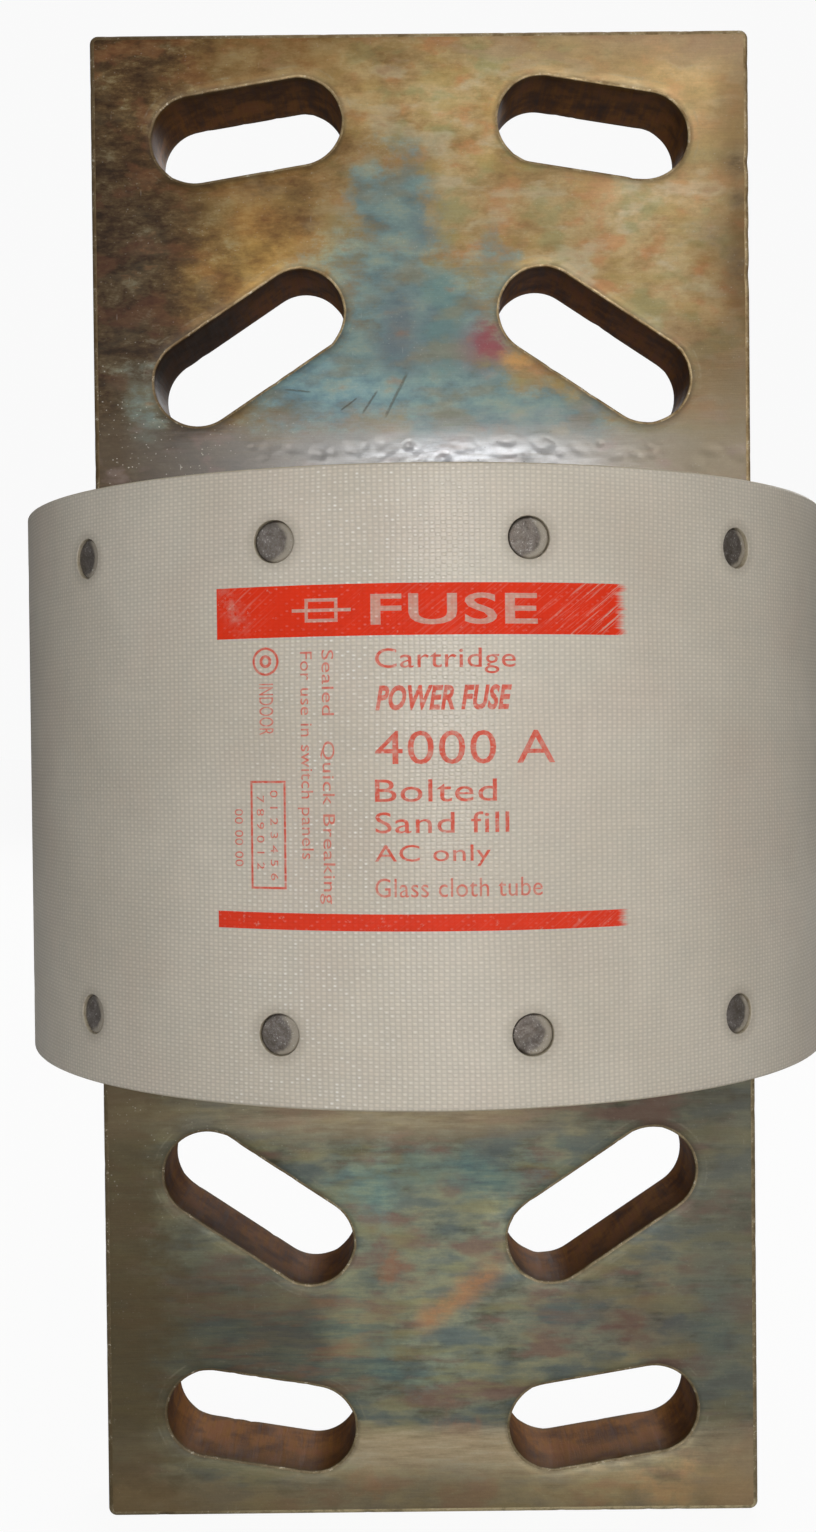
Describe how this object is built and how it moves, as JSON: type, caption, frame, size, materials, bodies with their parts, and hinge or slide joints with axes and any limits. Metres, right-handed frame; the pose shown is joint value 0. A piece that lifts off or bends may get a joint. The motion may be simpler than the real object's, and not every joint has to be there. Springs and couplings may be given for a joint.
{
  "type": "cartridge fuse",
  "caption": "Large bolted-blade cartridge fuse: round laminate tube with recessed radial pins and a flat slotted copper blade out of each end.",
  "frame": {"origin": "centre of the fuse, on the tube's axis halfway between the blade ends", "axes": "+Z along the tube to the upper blade's end, +X across the blades' width, the printed side of the tube faces -Y"},
  "size_m": [0.146, 0.146, 0.273],
  "materials": {
    "laminate_tube": "satin, fine glass-cloth weave",
    "silvered_copper": "tarnished, brushed",
    "copper_block": "dull, machined",
    "steel_pin": "dull, oxidised",
    "seal_rubber": "matt",
    "fibre_washer": "matt",
    "fuse_silver": "satin",
    "overload_alloy": "dull",
    "quartz_sand": "granular",
    "plug_brass": "satin"
  },
  "bodies": {
    "root": {"casing_tube": "laminate_tube", "upper_terminal_blade": "silvered_copper", "lower_terminal_blade": "silvered_copper", "upper_end_block": "copper_block", "lower_end_block": "copper_block", "upper_retaining_pins": "steel_pin", "lower_retaining_pins": "steel_pin", "upper_seal_ring": "seal_rubber", "lower_seal_ring": "seal_rubber", "upper_inner_washer": "fibre_washer", "lower_inner_washer": "fibre_washer", "quartz_sand_filling": "quartz_sand", "sand_fill_plug": "plug_brass", "fuse_element_01": "fuse_silver", "fuse_element_02": "fuse_silver", "fuse_element_03": "fuse_silver", "fuse_element_04": "fuse_silver", "fuse_element_05": "fuse_silver", "fuse_element_06": "fuse_silver", "fuse_element_07": "fuse_silver", "fuse_element_08": "fuse_silver", "fuse_element_09": "fuse_silver", "fuse_element_10": "fuse_silver", "fuse_element_11": "fuse_silver", "fuse_element_12": "fuse_silver", "overload_bead_01": "overload_alloy", "overload_bead_02": "overload_alloy", "overload_bead_03": "overload_alloy", "overload_bead_04": "overload_alloy", "overload_bead_05": "overload_alloy", "overload_bead_06": "overload_alloy", "overload_bead_07": "overload_alloy", "overload_bead_08": "overload_alloy", "overload_bead_09": "overload_alloy", "overload_bead_10": "overload_alloy", "overload_bead_11": "overload_alloy", "overload_bead_12": "overload_alloy"}
  },
  "joints": []
}
